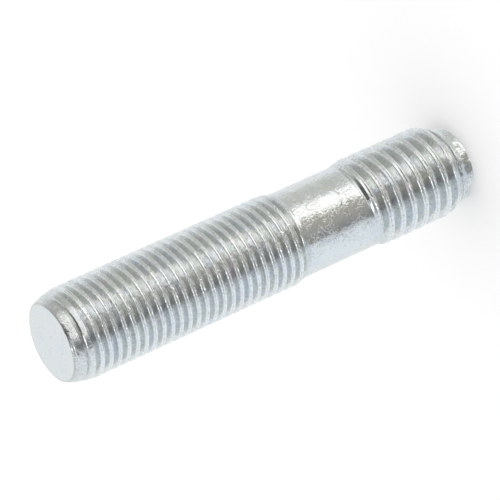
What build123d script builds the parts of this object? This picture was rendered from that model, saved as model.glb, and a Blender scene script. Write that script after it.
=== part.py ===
from build123d import *
from build123d.topology import SkipClean
import os
from math import atan, degrees, radians, tan

# A double-ended stud, formed from one length of steel rod: a long fine thread for a nut at the top,
# a plain shank left at the rod's own diameter, and a short coarse thread for a tapped hole below.
# It stands on its tap end. Z runs up the axis, and z = 0 is the square face of the tap end.

# Driving sizes, in millimetres and degrees
nominal_diameter = 12.0
crest_diameter = 11.8
shank_diameter = 11.0
overall_length = 59.2
nut_end_length = 33.5
tap_end_length = 16.5

# The nut end: a long chamfer up to a square face, and a rise from the shank to the crests
nut_face_diameter = 10.0
nut_chamfer_length = 2.6
nut_rise_length = 1.1

# The tap end: a short plain pilot, a chamfer up to the crests, and the rise down from them
tap_pitch = 1.75
pilot_diameter = 9.4
pilot_length = 1.0
tap_chamfer_length = 2.4
tap_rise_length = 1.2

# The thread form: a 60 degree groove with a flat root, cut to this share of the pitch
flank_angle = 30.0
depth_share = 0.6134
root_flat_share = 1 / 6
cutter_overlap = 0.05

# Where the tap thread starts round the axis, and the short arcs that its crests are made in
tap_start_angle = 154.0
crest_arcs = 8
crest_arc_start = 8.0

crest_radius = crest_diameter / 2
shank_radius = shank_diameter / 2
pilot_radius = pilot_diameter / 2
tap_root_radius = nominal_diameter / 2 - depth_share * tap_pitch
tap_crest_bottom = pilot_length + tap_chamfer_length
tap_crest_top = tap_end_length - tap_rise_length
shank_top = overall_length - nut_end_length
nut_crest_bottom = shank_top + nut_rise_length
nut_crest_top = overall_length - nut_chamfer_length


# One arc of the cylinder that the tap thread's crests lie on, as a wedge that reaches the axis
with BuildPart() as crest_arc:
    with BuildSketch(Plane.XZ):
        with BuildLine():
            Polyline(
                (0, tap_crest_bottom),
                (crest_radius, tap_crest_bottom),
                (crest_radius, tap_crest_top),
                (0, tap_crest_top),
                close=True,
            )
        make_face()
    revolve(axis=Axis.Z, revolution_arc=360 / crest_arcs)


# The end below those crests: the pilot finds the tapped hole, and the chamfer leads the thread in
with BuildPart() as tap_point:
    with BuildSketch(Plane.XZ):
        with BuildLine():
            Polyline(
                (0, 0),
                (pilot_radius, 0),
                (pilot_radius, pilot_length),
                (crest_radius, tap_crest_bottom),
                (0, tap_crest_bottom),
                close=True,
            )
        make_face()
    revolve(axis=Axis.Z)


# The shank and the nut end, which rises to the crests of the nut thread and ends in the chamfer
with BuildPart() as shank_and_nut_end:
    with BuildSketch(Plane.XZ):
        with BuildLine():
            Polyline(
                (0, overall_length),
                (nut_face_diameter / 2, overall_length),
                (crest_radius, nut_crest_top),
                (crest_radius, nut_crest_bottom),
                (shank_radius, shank_top),
                (shank_radius, tap_end_length),
                (crest_radius, tap_crest_top),
                (0, tap_crest_top),
                close=True,
            )
        make_face()
    revolve(axis=Axis.Z)


# The groove's section at its root radius, with the mouth left a little proud of the crests
groove_depth = crest_radius - tap_root_radius + cutter_overlap
root_half_width = root_flat_share * tap_pitch / 2
mouth_half_width = root_half_width + groove_depth * tan(radians(flank_angle))
section_plane = Plane(origin=(tap_root_radius, 0, 0), x_dir=(1, 0, 0), z_dir=(0, 1, 0))
with BuildSketch(section_plane) as groove_section:
    with BuildLine():
        Polyline(
            (0, -root_half_width),
            (groove_depth, -mouth_half_width),
            (groove_depth, mouth_half_width),
            (0, root_half_width),
            close=True,
        )
    make_face()


# One full turn of the tap thread's groove, the same for every turn
with BuildPart() as groove_turn:
    with BuildLine() as lead:
        Helix(pitch=tap_pitch, height=tap_pitch, radius=tap_root_radius)
    sweep(sections=groove_section.sketch, path=lead.wires()[0], is_frenet=True)


# The last turn, where the groove climbs out of the metal and fades into the shank
runout_rise = shank_radius + cutter_overlap - tap_root_radius
with BuildPart() as runout_turn:
    with BuildLine() as rising_lead:
        Helix(
            pitch=tap_pitch,
            height=tap_pitch,
            radius=tap_root_radius,
            cone_angle=degrees(atan(runout_rise / tap_pitch)),
        )
    sweep(sections=groove_section.sketch, path=rising_lead.wires()[0], is_frenet=True)


# The whole stud. The groove is cut turn by turn, from the run-out down through the chamfer
runout_start = tap_end_length - 1.5 * tap_pitch
groove_turns = int(runout_start / tap_pitch) + 2
with SkipClean(), BuildPart() as stud:
    add(shank_and_nut_end.part)
    with PolarLocations(0, crest_arcs, start_angle=crest_arc_start):
        add(crest_arc.part)
    add(tap_point.part)
    with Locations(Location((0, 0, runout_start), (0, 0, tap_start_angle))):
        add(runout_turn.part, mode=Mode.SUBTRACT)
    for turn in range(1, groove_turns):
        with Locations(Location((0, 0, runout_start - turn * tap_pitch), (0, 0, tap_start_angle))):
            add(groove_turn.part, mode=Mode.SUBTRACT)

stud.part.label = "stud"
os.makedirs("parts", exist_ok=True)
export_step(stud.part, "parts/stud.step")
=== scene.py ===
import math

import bpy
from mathutils import Matrix, Vector, noise


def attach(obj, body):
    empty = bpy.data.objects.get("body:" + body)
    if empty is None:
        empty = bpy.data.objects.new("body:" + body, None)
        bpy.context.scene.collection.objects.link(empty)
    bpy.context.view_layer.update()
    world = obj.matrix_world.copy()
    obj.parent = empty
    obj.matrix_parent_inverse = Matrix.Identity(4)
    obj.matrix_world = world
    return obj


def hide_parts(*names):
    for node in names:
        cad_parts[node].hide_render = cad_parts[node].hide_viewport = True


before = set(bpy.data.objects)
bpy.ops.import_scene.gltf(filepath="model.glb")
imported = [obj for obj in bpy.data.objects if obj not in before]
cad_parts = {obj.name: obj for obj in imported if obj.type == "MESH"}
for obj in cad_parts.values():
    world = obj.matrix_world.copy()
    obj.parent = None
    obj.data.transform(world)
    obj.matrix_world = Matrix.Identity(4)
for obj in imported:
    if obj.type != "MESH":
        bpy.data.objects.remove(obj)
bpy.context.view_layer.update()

bpy.ops.object.select_all(action="DESELECT")


# The nut end of the stud: a long fine thread, rolled into the steel rod between two dies.
# The dies squeeze each crest up from both sides, so a shallow seam is left along its middle.
MM = 0.001
CREST_RADIUS = 5.9 * MM
SHANK_RADIUS = 5.5 * MM
OVERALL_LENGTH = 59.2 * MM
NUT_PITCH = 1.25 * MM
NUT_ROOT_RADIUS = 5.233 * MM
NUT_FIRST_CREST = 17.93 * NUT_PITCH
NUT_TURNS = 30
STEPS_PER_TURN = 80
MERGE_SHARE_OF_PITCH = 0.002
CUT_TOLERANCE = 1e-8

# Half a pitch of the rolled form, from the seam of a crest down to the root beside it: how far
# along the pitch, and how far up from root to crest. The other half is its mirror image
SEAM_TO_ROOT = [
    (0.000, 0.870),
    (0.040, 0.885),
    (0.085, 0.950),
    (0.115, 0.990),
    (0.140, 1.000),
    (0.162, 0.985),
    (0.190, 0.942),
    (0.217, 0.872),
    (0.248, 0.775),
    (0.330, 0.455),
    (0.415, 0.145),
    (0.440, 0.065),
    (0.465, 0.020),
    (0.500, 0.000),
]
ROOT_TO_SEAM = [(1 - share, rise) for share, rise in reversed(SEAM_TO_ROOT[:-1])]
ROLLED_FORM = SEAM_TO_ROOT + ROOT_TO_SEAM


def rolled_thread(name, pitch, root_radius, first_crest, turns):
    """Sweeps one pitch of the rolled form up the axis, as a right-hand thread.

    The first crest is the height of the lowest one over the +X side.
    """
    bpy.ops.mesh.primitive_plane_add(size=pitch)
    thread = bpy.context.object
    thread.name = name
    height = CREST_RADIUS - root_radius
    at = (root_radius + ROLLED_FORM[0][1] * height, first_crest)
    bpy.ops.object.mode_set(mode="EDIT")
    bpy.ops.mesh.select_all(action="SELECT")
    bpy.ops.mesh.merge(type="CENTER")
    bpy.ops.mesh.select_all(action="SELECT")
    bpy.ops.transform.translate(value=(at[0], 0, at[1]))
    for share, rise in ROLLED_FORM[1:]:
        to = (root_radius + rise * height, first_crest + share * pitch)
        step = (to[0] - at[0], 0, to[1] - at[1])
        bpy.ops.mesh.extrude_vertices_move(TRANSFORM_OT_translate={"value": step})
        at = to
    bpy.ops.object.mode_set(mode="OBJECT")
    sweep = thread.modifiers.new("sweep", "SCREW")
    sweep.screw_offset = pitch
    sweep.iterations = turns
    sweep.steps = sweep.render_steps = STEPS_PER_TURN
    bpy.ops.object.modifier_apply(modifier=sweep.name)
    bpy.ops.object.mode_set(mode="EDIT")
    bpy.ops.mesh.select_all(action="SELECT")
    bpy.ops.mesh.remove_doubles(threshold=pitch * MERGE_SHARE_OF_PITCH)
    bpy.ops.object.mode_set(mode="OBJECT")
    return thread


def cut_across(piece, height, keep, close):
    """Cuts the piece square across at a height and keeps what lies above or below it."""
    bpy.ops.object.mode_set(mode="EDIT")
    bpy.ops.mesh.select_all(action="SELECT")
    bpy.ops.mesh.bisect(
        plane_co=(0, 0, height),
        plane_no=(0, 0, 1),
        use_fill=close,
        clear_inner=keep == "above",
        clear_outer=keep == "below",
        threshold=CUT_TOLERANCE,
    )
    bpy.ops.object.mode_set(mode="OBJECT")


def turn_down(piece, shape):
    """Moves each point of the piece straight towards or away from the axis, as the shape says."""
    for vertex in piece.data.vertices:
        scale = shape(vertex.co)
        vertex.co.x *= scale
        vertex.co.y *= scale


def clamped(share):
    return min(max(share, 0.0), 1.0)


def eased(share):
    share = clamped(share)
    return share * share * (3 - 2 * share)


def along(stops, height):
    """Reads a radius off a list of heights and radii, in straight runs."""
    for (low, low_radius), (high, high_radius) in zip(stops, stops[1:]):
        if height <= high:
            share = clamped((height - low) / (high - low))
            return low_radius + (high_radius - low_radius) * share
    return stops[-1][1]


def near(angle, middle, reach):
    """1 at the middle angle, easing to 0 at its reach on either side."""
    apart = abs((angle - middle + math.pi) % (2 * math.pi) - math.pi)
    return eased(1 - apart / reach)


def uneven(point, size):
    """A smooth, repeatable unevenness between about -1 and 1, with features of one size."""
    return noise.noise(point / size)


# Heights and radii of the slightly rounded lead that the rod was turned to at its nut end
NUT_LEAD = [
    (55.6 * MM, CREST_RADIUS),
    (56.6 * MM, 5.79 * MM),
    (57.4 * MM, 5.63 * MM),
    (58.2 * MM, 5.42 * MM),
    (58.8 * MM, 5.20 * MM),
    (OVERALL_LENGTH, 4.99 * MM),
]

# The thread grows out of the shank over a short length
NUT_THREAD_BOTTOM = 25.0 * MM
NUT_FADE_START = 25.2 * MM
NUT_FADE_LENGTH = 1.6 * MM

# The last turns are squeezed in, flattened on one side and chewed on another
NUT_TIP_START = 57.6 * MM
NUT_TIP_LENGTH = 1.6 * MM
TIP_SQUEEZE = 0.13 * MM
FLAT_HEADING = math.radians(45)
FLAT_REACH = math.radians(50)
FLAT_DEPTH = 0.22 * MM
CHEWED_HEADING = math.radians(-125)
CHEWED_REACH = math.radians(55)
CHEWED_DEPTH = 0.16 * MM
CHEWED_BITE_SIZE = 0.45 * MM


def shape_nut_end(point):
    radius = math.hypot(point.x, point.y)
    heading = math.atan2(point.y, point.x)
    grown = eased((point.z - NUT_FADE_START) / NUT_FADE_LENGTH)
    tip = eased((point.z - NUT_TIP_START) / NUT_TIP_LENGTH)
    wanted = SHANK_RADIUS + (radius - SHANK_RADIUS) * grown - TIP_SQUEEZE * tip
    lead = along(NUT_LEAD, point.z)
    lead -= FLAT_DEPTH * tip * near(heading, FLAT_HEADING, FLAT_REACH)
    chewed = tip * near(heading, CHEWED_HEADING, CHEWED_REACH)
    lead -= CHEWED_DEPTH * chewed * max(0.0, uneven(point, CHEWED_BITE_SIZE))
    return min(wanted, lead) / radius


nut_end = rolled_thread("stud_body", NUT_PITCH, NUT_ROOT_RADIUS, NUT_FIRST_CREST, NUT_TURNS)
cut_across(nut_end, NUT_THREAD_BOTTOM, keep="above", close=False)
turn_down(nut_end, shape_nut_end)
cut_across(nut_end, OVERALL_LENGTH, keep="below", close=True)
nut_end.select_set(False)


# The tap end: a short coarse thread that is driven into a tapped hole, with a plain pilot below it.
# It is rolled in the same way, on the same rod, and its last turn fades out into the shank.
TAP_PITCH = 1.75 * MM
TAP_ROOT_RADIUS = 4.927 * MM
TAP_FIRST_CREST = -1.999 * TAP_PITCH
TAP_TURNS = 12

# Heights and radii of the pilot and of the chamfer above it
TAP_LEAD = [
    (0.0 * MM, 4.60 * MM),
    (0.12 * MM, 4.70 * MM),
    (1.05 * MM, 4.72 * MM),
    (1.15 * MM, 4.80 * MM),
    (2.25 * MM, 5.30 * MM),
    (3.50 * MM, CREST_RADIUS),
]

# The thread fades out just below a plane that is tilted to the axis
TAP_THREAD_TOP = 17.4 * MM
TAP_FADE_END = 15.4 * MM
TAP_FADE_LENGTH = 1.7 * MM
TAP_FADE_TILT_X = 0.15
TAP_FADE_TILT_Y = -0.22

# The pilot was cropped a little off the axis, towards -X
TAP_TIP_OFFSET = 0.22 * MM
TAP_TIP_REACH = 3.2 * MM

# Knocks on the pilot: place, reach and depth
PILOT_KNOCKS = [
    (Vector((1.15, -4.57, 0.75)) * MM, 0.80 * MM, 0.22 * MM),
    (Vector((0.25, -4.70, 1.25)) * MM, 0.55 * MM, 0.12 * MM),
    (Vector((-0.45, -4.68, 0.10)) * MM, 0.70 * MM, 0.20 * MM),
    (Vector((-1.45, -4.50, 0.65)) * MM, 0.60 * MM, 0.16 * MM),
    (Vector((-4.20, -2.30, -0.10)) * MM, 1.90 * MM, 0.75 * MM),
]


def shape_tap_end(point):
    radius = math.hypot(point.x, point.y)
    fade_end = TAP_FADE_END + TAP_FADE_TILT_X * point.x + TAP_FADE_TILT_Y * point.y
    grown = eased((fade_end - point.z) / TAP_FADE_LENGTH)
    wanted = SHANK_RADIUS + (radius - SHANK_RADIUS) * grown
    lead = along(TAP_LEAD, point.z)
    lead -= TAP_TIP_OFFSET * eased(1 - point.z / TAP_TIP_REACH) * point.x / radius
    wanted = min(wanted, lead, CREST_RADIUS)
    for place, reach, depth in PILOT_KNOCKS:
        apart = (point * (wanted / radius) - place).length
        wanted -= depth * eased(1 - apart / reach)
    return wanted / radius


tap_end = rolled_thread("tap_end", TAP_PITCH, TAP_ROOT_RADIUS, TAP_FIRST_CREST, TAP_TURNS)
cut_across(tap_end, TAP_THREAD_TOP, keep="below", close=False)
turn_down(tap_end, shape_tap_end)
cut_across(tap_end, 0.0, keep="above", close=True)


# The shank between the threads is the rod itself, at the size it had before rolling.
# The two ends are joined to it, and the whole stud is one solid.
SHANK_RINGS = 11
JOIN_TOLERANCE = 1e-7
SHARP_EDGE = math.radians(40)

nut_end.select_set(True)
bpy.context.view_layer.objects.active = nut_end
bpy.ops.object.join()
stud = bpy.context.object
bpy.ops.object.mode_set(mode="EDIT")
bpy.ops.mesh.select_mode(type="EDGE")
bpy.ops.mesh.select_all(action="DESELECT")
bpy.ops.mesh.select_non_manifold()
bpy.ops.mesh.bridge_edge_loops(number_cuts=SHANK_RINGS, smoothness=0)
bpy.ops.mesh.select_mode(type="VERT")
bpy.ops.mesh.select_all(action="SELECT")
bpy.ops.mesh.remove_doubles(threshold=JOIN_TOLERANCE)
bpy.ops.mesh.normals_make_consistent(inside=False)
bpy.ops.object.mode_set(mode="OBJECT")
bpy.ops.object.shade_smooth_by_angle(angle=SHARP_EDGE)

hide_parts("stud")
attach(stud, "root")


# The finish: bright zinc plate with a clear film, thin enough to show the rolled steel under it.
# Fine marks from rolling and plating break up its shine.
class Value:
    """A shader socket that reads as a number, so that node maths can be written as sums."""

    def __init__(self, tree, socket):
        self.tree = tree
        self.socket = socket

    def math(self, operation, *others, swap=False):
        values = [self, *others]
        if swap:
            values.reverse()
        inputs = dict(enumerate(values))
        return self.node("ShaderNodeMath", inputs, operation=operation)

    def node(self, kind, inputs, output=0, stops=None, **settings):
        made = self.tree.nodes.new(kind)
        for name, setting in settings.items():
            setattr(made, name, setting)
        if stops:
            ramp = made.color_ramp
            while len(ramp.elements) < len(stops):
                ramp.elements.new(0.5)
            for element, (place, colour) in zip(ramp.elements, stops):
                element.position = place
                element.color = (*colour, 1)
        for name, given in inputs.items():
            if isinstance(given, Value):
                self.tree.links.new(given.socket, made.inputs[name])
            else:
                made.inputs[name].default_value = given
        return Value(self.tree, made.outputs[output])

    def __add__(self, other):
        return self.math("ADD", other)

    __radd__ = __add__

    def __sub__(self, other):
        return self.math("SUBTRACT", other)

    def __rsub__(self, other):
        return self.math("SUBTRACT", other, swap=True)

    def __mul__(self, other):
        return self.math("MULTIPLY", other)

    __rmul__ = __mul__


def axes_of(vector):
    """The three parts of a vector, along X, Y and Z."""
    split = vector.node("ShaderNodeSeparateXYZ", {"Vector": vector}).socket.node
    return [Value(vector.tree, part) for part in split.outputs]


def over(value, start, end, below=0.0, above=1.0):
    """Goes from the level below the start to the level above the end."""
    return value.node("ShaderNodeMapRange", {0: value, 1: start, 2: end, 3: below, 4: above})


def under(value, start, end):
    """1 below the start, 0 above the end."""
    return over(value, start, end, below=1.0, above=0.0)


def colour_at(share, stops):
    """Reads a colour off a list of places, from 0 to 1, and colours."""
    return share.node("ShaderNodeValToRGB", {"Fac": share}, stops=stops)


def blend(share, first, second):
    """Goes from the first colour to the second as the share goes from 0 to 1."""
    if not isinstance(second, Value):
        second = (*second, 1)
    inputs = {"Factor": share, "A": first, "B": second}
    return share.node("ShaderNodeMix", inputs, output=2, data_type="RGBA")


zinc = bpy.data.materials.new("zinc_plate")
zinc.use_nodes = True
tree = zinc.node_tree
shader = tree.nodes["Principled BSDF"]
shader.inputs["Metallic"].default_value = 1.0
place = Value(tree, tree.nodes.new("ShaderNodeTexCoord").outputs["Object"])
x, y, z = axes_of(place)
radius = (x * x + y * y).math("SQRT")


def mottling(per_metre, detail):
    """A smooth pattern fixed to the steel, between 0 and 1."""
    inputs = {"Vector": place, "Scale": per_metre, "Detail": detail}
    return place.node("ShaderNodeTexNoise", inputs)


# The film's colour wanders a little between blue, green and violet greys, with darker specks
PATCHES_PER_METRE = 420.0
SPECKS_PER_METRE = 2600.0
FILM_COLOURS = [
    (0.30, (0.72, 0.76, 0.785)),
    (0.45, (0.76, 0.77, 0.79)),
    (0.55, (0.75, 0.78, 0.76)),
    (0.70, (0.78, 0.77, 0.80)),
]
SPECK_COLOUR = (0.42, 0.40, 0.37)
SPECK_LEVELS = (0.62, 0.72)
SPECK_STRENGTH = 0.45

film = colour_at(mottling(PATCHES_PER_METRE, detail=2.0), FILM_COLOURS)
dark = over(mottling(SPECKS_PER_METRE, detail=3.0), *SPECK_LEVELS, above=SPECK_STRENGTH)
colour = blend(dark, film, SPECK_COLOUR)

# The edge of the nut end's face is coloured a little darker
RIM_COLOUR = (0.36, 0.34, 0.31)
RIM_RADII = (4.78 * MM, 4.96 * MM)
RIM_HEIGHTS = (58.9 * MM, 59.15 * MM)
RIM_STRENGTH = 0.40

rim = over(radius, *RIM_RADII) * over(z, *RIM_HEIGHTS, above=RIM_STRENGTH)
colour = blend(rim, colour, RIM_COLOUR)

# Both threads are painted darker down in their roots as shade, painted lighter along their crests
# as a highlight, and finely grained
FACE_HEIGHTS = (59.05 * MM, 59.15 * MM)
SHANK_BOTTOM = (15.5 * MM, 16.5 * MM)
SHANK_TOP = (25.2 * MM, 26.2 * MM)
PAINTED_SHADE_TO_HIGHLIGHT_RADII = (5.60 * MM, 5.88 * MM)
ROOT_PAINTED_SHADE = -0.08
CREST_PAINTED_HIGHLIGHT = 0.10
GRAINS_PER_METRE = 3200.0
GRAIN_CONTRAST = 0.45

below_face = under(z, *FACE_HEIGHTS)
on_shank = over(z, *SHANK_BOTTOM) * under(z, *SHANK_TOP)
on_thread = (1.0 - on_shank) * below_face
# Painted shade in the roots and painted highlight on the crests, by the distance from the axis
painted_root_shade_and_crest_highlight = over(radius, *PAINTED_SHADE_TO_HIGHLIGHT_RADII, below=ROOT_PAINTED_SHADE, above=CREST_PAINTED_HIGHLIGHT)
grain = mottling(GRAINS_PER_METRE, detail=2.0)
# The painted root shade and crest highlight, with the grain, scale the plate's colour
painted_light_and_grain = 1.0 + (painted_root_shade_and_crest_highlight + (grain - 0.5) * GRAIN_CONTRAST) * on_thread
colour = colour.node("ShaderNodeVectorMath", {0: colour, "Scale": painted_light_and_grain}, operation="SCALE")
tree.links.new(colour.socket, shader.inputs["Base Color"])

# The plate is polished in some places and satin in others, and dull on the specks
MOTTLES_PER_METRE = 1100.0
SMOOTHEST = 0.09
MOTTLE_ROUGHNESS = 0.14
SPECK_ROUGHNESS = 0.2

mottle = mottling(MOTTLES_PER_METRE, detail=3.0)
rough = SMOOTHEST + mottle * MOTTLE_ROUGHNESS + dark * SPECK_ROUGHNESS
tree.links.new(rough.socket, shader.inputs["Roughness"])

# Small hammered unevenness and thin raised squiggles, both fainter in calm patches, with pits
# at the dark specks and a fine grain that the plain shank hardly has
LUMPS_PER_METRE = 1900.0
SQUIGGLES_PER_METRE = 1700.0
CALM_PATCHES_PER_METRE = 500.0
SQUIGGLE_WIDTH = 0.035
CALM_LEVELS = (0.40, 0.60)
CALM_RELIEF = 0.35
LIVELY_RELIEF = 1.15
LUMP_HEIGHT = 0.8
SQUIGGLE_HEIGHT = 0.16
PIT_DEPTH = 0.3
GRAIN_HEIGHT = 0.30
GRAIN_LOSS_ON_SHANK = 0.24

lumps = mottling(LUMPS_PER_METRE, detail=4.0)
squiggles = (mottling(SQUIGGLES_PER_METRE, detail=1.5) - 0.5).math("ABSOLUTE")
squiggles = under(squiggles, 0.0, SQUIGGLE_WIDTH)
relief = mottling(CALM_PATCHES_PER_METRE, detail=1.0)
relief = over(relief, *CALM_LEVELS, below=CALM_RELIEF, above=LIVELY_RELIEF)
height = (lumps * LUMP_HEIGHT + squiggles * SQUIGGLE_HEIGHT) * relief - dark * PIT_DEPTH
height = height + grain * (GRAIN_HEIGHT - on_shank * GRAIN_LOSS_ON_SHANK)

# The dies burnish the flanks and roots of both threads smooth
GROOVE_RADII = (5.60 * MM, 5.80 * MM)
LOWEST_GROOVE = (1.8 * MM, 2.8 * MM)
HIGHEST_GROOVE = (57.5 * MM, 58.5 * MM)
BURNISHING = 0.70

in_groove = under(radius, *GROOVE_RADII) * over(z, *LOWEST_GROOVE) * under(z, *HIGHEST_GROOVE)
height = height * (1.0 - in_groove * (1.0 - on_shank) * BURNISHING)

# A curved mark on the shank, left by the jaw that held the rod
JAW_MARK_CENTRE = Vector((1.80, -5.20, 20.12)) * MM
JAW_MARK_RADIUS = 1.22 * MM
JAW_MARK_WIDTH = 0.16 * MM
JAW_MARK_TOP = (19.4 * MM, 19.8 * MM)
JAW_MARK_HEIGHT = 0.7

from_centre = place.node(
    "ShaderNodeVectorMath",
    {0: place, 1: JAW_MARK_CENTRE},
    output="Value",
    operation="DISTANCE",
)
from_mark = (from_centre - JAW_MARK_RADIUS).math("ABSOLUTE")
jaw_mark = under(from_mark, 0.0, JAW_MARK_WIDTH) * under(z, *JAW_MARK_TOP)
height = height + jaw_mark * JAW_MARK_HEIGHT

# The nut end's face is flatter, and has only a share of this relief
FACE_RELIEF = 0.25
FULL_RELIEF = 0.08 * MM

height = height * (FACE_RELIEF + below_face * (1 - FACE_RELIEF))
inputs = {"Height": height, "Strength": 1.0, "Distance": FULL_RELIEF}
bump = height.node("ShaderNodeBump", inputs)
tree.links.new(bump.socket, shader.inputs["Normal"])
stud.data.materials.clear()
stud.data.materials.append(zinc)


# A plain pale floor under the standing stud, kept out of the stud's shine.
# It glows a little to the camera, so that it shows as light as white paper.
FLOOR_SIZE = 30000 * MM
FLOOR_COLOUR = (0.9, 0.9, 0.9, 1)
WHITE = (1, 1, 1, 1)
FLOOR_GLOW = 0.14

bpy.ops.mesh.primitive_plane_add(size=FLOOR_SIZE, location=(0, 0, 0))
floor = bpy.context.object
floor.name = "floor"
floor.visible_glossy = False
paper = bpy.data.materials.new("white_paper")
paper.use_nodes = True
tree = paper.node_tree
tree.nodes.clear()
camera_ray = Value(tree, tree.nodes.new("ShaderNodeLightPath").outputs["Is Camera Ray"])
matt = camera_ray.node("ShaderNodeBsdfDiffuse", {"Color": FLOOR_COLOUR})
glow = camera_ray.node("ShaderNodeEmission", {"Color": WHITE, "Strength": FLOOR_GLOW})
both = camera_ray.node("ShaderNodeAddShader", {0: matt, 1: glow})
surface = camera_ray.node("ShaderNodeMixShader", {0: camera_ray, 1: matt, 2: both})
out = tree.nodes.new("ShaderNodeOutputMaterial")
tree.links.new(surface.socket, out.inputs["Surface"])
floor.data.materials.append(paper)


# The studio is even white light, and the stud's shine mirrors panels that stand round it.
# The panels are in four bands: at floor level, low, at the stud's own level and high.
TURNS_PER_RADIAN = 1 / (2 * math.pi)
DEGREES_PER_TURN = 360

# Headings of the panels, in degrees from the front towards +X, and their colours
FLOOR_LEVEL_PANELS = [
    (-180, (0.80, 0.83, 0.85)),
    (-105, (0.78, 0.85, 0.90)),
    (-55, (0.74, 0.80, 0.85)),
    (-42, (0.26, 0.26, 0.26)),
    (-22, (0.42, 0.41, 0.38)),
    (13, (0.56, 0.55, 0.50)),
    (20, (1.85, 1.84, 1.80)),
    (52, (1.70, 1.69, 1.65)),
    (62, (0.72, 0.73, 0.69)),
    (125, (0.76, 0.77, 0.75)),
    (180, (0.80, 0.83, 0.85)),
]
LOW_PANELS = [
    (-180, (0.92, 0.95, 0.97)),
    (-105, (0.93, 1.02, 1.09)),
    (-60, (0.90, 0.97, 1.03)),
    (-50, (0.78, 0.80, 0.84)),
    (-41, (0.24, 0.24, 0.24)),
    (-22, (0.42, 0.41, 0.38)),
    (18, (0.50, 0.48, 0.42)),
    (24, (1.42, 1.41, 1.38)),
    (52, (1.30, 1.29, 1.27)),
    (61, (0.66, 0.67, 0.63)),
    (90, (0.63, 0.64, 0.60)),
    (125, (0.74, 0.75, 0.73)),
    (180, (0.92, 0.95, 0.97)),
]
MIDDLE_PANELS = [
    (-180, (0.90, 0.93, 0.95)),
    (-60, (0.90, 0.95, 1.00)),
    (-46, (0.30, 0.30, 0.30)),
    (-33, (0.22, 0.22, 0.22)),
    (-24, (0.38, 0.38, 0.37)),
    (-12, (1.12, 1.12, 1.10)),
    (50, (1.15, 1.15, 1.13)),
    (61, (0.60, 0.61, 0.58)),
    (95, (0.50, 0.51, 0.49)),
    (140, (0.52, 0.53, 0.52)),
    (180, (0.90, 0.93, 0.95)),
]

# The high panels lie across the stud: places from -X, at 0, to +X, at 1, and their colours
HIGH_PANELS = [
    (0.0, (0.85, 0.90, 0.95)),
    (0.30, (0.75, 0.79, 0.84)),
    (0.37, (0.12, 0.12, 0.12)),
    (0.68, (0.10, 0.10, 0.10)),
    (0.78, (0.50, 0.50, 0.48)),
    (1.0, (0.58, 0.59, 0.58)),
]
LAMP_DIRECTION = (-0.35, -0.45, 0.82)
LAMP_EDGE = (0.984, 0.994)
LAMP_COLOUR = (5.0, 5.0, 5.0)
OVERHEAD_COLOUR = (0.72, 0.74, 0.75)
BACK_WALL_COLOUR = (0.93, 0.965, 0.98)

# Where one band gives way to the next, as the upward or backward part of the direction
LOW_START = (-0.60, -0.49)
MIDDLE_START = (-0.22, 0.0)
HIGH_START = (0.41, 0.53)
OVERHEAD_START = (0.04, 0.20)
BACK_WALL_START = (0.25, 0.55)

world = bpy.data.worlds.new("studio")
bpy.context.scene.world = world
world.use_nodes = True
tree = world.node_tree
tree.nodes.clear()
direction = Value(tree, tree.nodes.new("ShaderNodeTexCoord").outputs["Generated"])
glossy_ray = Value(tree, tree.nodes.new("ShaderNodeLightPath").outputs["Is Glossy Ray"])
east, north, up = axes_of(direction)
round_the_stud = east.math("ARCTAN2", north * -1) * TURNS_PER_RADIAN + 0.5


def panels(stops):
    """A band of studio panels round the stud, by their heading from the front."""
    return colour_at(
        round_the_stud,
        [(heading / DEGREES_PER_TURN + 0.5, colour) for heading, colour in stops],
    )


lamp = direction.node(
    "ShaderNodeVectorMath",
    {0: direction, 1: LAMP_DIRECTION},
    output="Value",
    operation="DOT_PRODUCT",
)
high = colour_at(east * 0.5 + 0.5, HIGH_PANELS)
high = blend(over(lamp, *LAMP_EDGE), high, LAMP_COLOUR)
high = blend(over(north, *OVERHEAD_START), high, OVERHEAD_COLOUR)
pattern = blend(over(up, *LOW_START), panels(FLOOR_LEVEL_PANELS), panels(LOW_PANELS))
pattern = blend(over(up, *MIDDLE_START), pattern, panels(MIDDLE_PANELS))
pattern = blend(over(up, *HIGH_START), pattern, high)
pattern = blend(over(north, *BACK_WALL_START), pattern, BACK_WALL_COLOUR)
even = pattern.node("ShaderNodeBackground", {"Color": WHITE, "Strength": 1.0})
studio = pattern.node("ShaderNodeBackground", {"Color": pattern, "Strength": 1.0})
sky = pattern.node("ShaderNodeMixShader", {0: glossy_ray, 1: even, 2: studio})
out = tree.nodes.new("ShaderNodeOutputWorld")
tree.links.new(sky.socket, out.inputs["Surface"])
bpy.context.scene.view_settings.view_transform = "Standard"


# The camera stands in front of the stud and looks down on it from above its nut end.
# It is rolled so that the stud lies aslant, with the nut end at the lower left.
CAMERA_PLACE = Vector((0.0, -424.494, 237.09)) * MM
LOOKS_AT = Vector((0.302, 0.231, 30.283)) * MM
CAMERA_ROLL = math.radians(24.375)
LENS_MM = 280.6
SENSOR_MM = 36.0
NEAREST_SEEN = 10 * MM
FARTHEST_SEEN = 100000 * MM

back = (CAMERA_PLACE - LOOKS_AT).normalized()
down_the_stud = (Vector((0, 0, -1)) + back * back.z).normalized()
across = back.cross(down_the_stud)
right = math.cos(CAMERA_ROLL) * down_the_stud - math.sin(CAMERA_ROLL) * across
upward = math.sin(CAMERA_ROLL) * down_the_stud + math.cos(CAMERA_ROLL) * across
turned = Matrix((right, upward, back)).transposed().to_4x4()
bpy.ops.object.camera_add()
camera = bpy.context.object
camera.matrix_world = Matrix.Translation(CAMERA_PLACE) @ turned
camera.data.lens = LENS_MM
camera.data.sensor_width = SENSOR_MM
camera.data.clip_start = NEAREST_SEEN
camera.data.clip_end = FARTHEST_SEEN
bpy.context.scene.camera = camera
